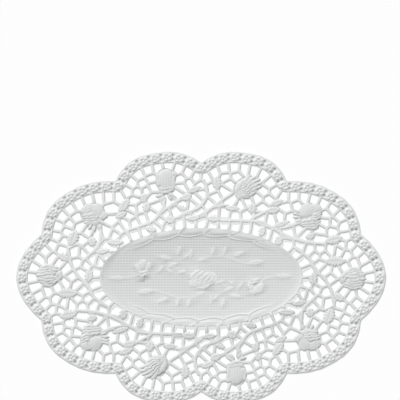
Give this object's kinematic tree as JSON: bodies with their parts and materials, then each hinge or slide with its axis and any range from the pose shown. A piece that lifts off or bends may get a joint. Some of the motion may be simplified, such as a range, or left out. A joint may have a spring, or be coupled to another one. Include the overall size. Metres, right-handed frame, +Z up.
{
  "type": "oval paper doily",
  "caption": "Oval lace paper doily with a scalloped braided rim, a row of gaps along the border, roses and leaves in an openwork net, and an embossed linen centre.",
  "frame": {"origin": "middle of the underside, on the surface that the doily lies on", "axes": "+X along the long axis of the oval, +Y along its short axis, +Z up, square to the paper, out of its embossed face"},
  "size_m": [0.37, 0.2518, 0.0015],
  "materials": {
    "paper": "matt white embossed paper with a linen grain in the centre"
  },
  "bodies": {
    "root": {"doily": "paper"}
  },
  "joints": []
}
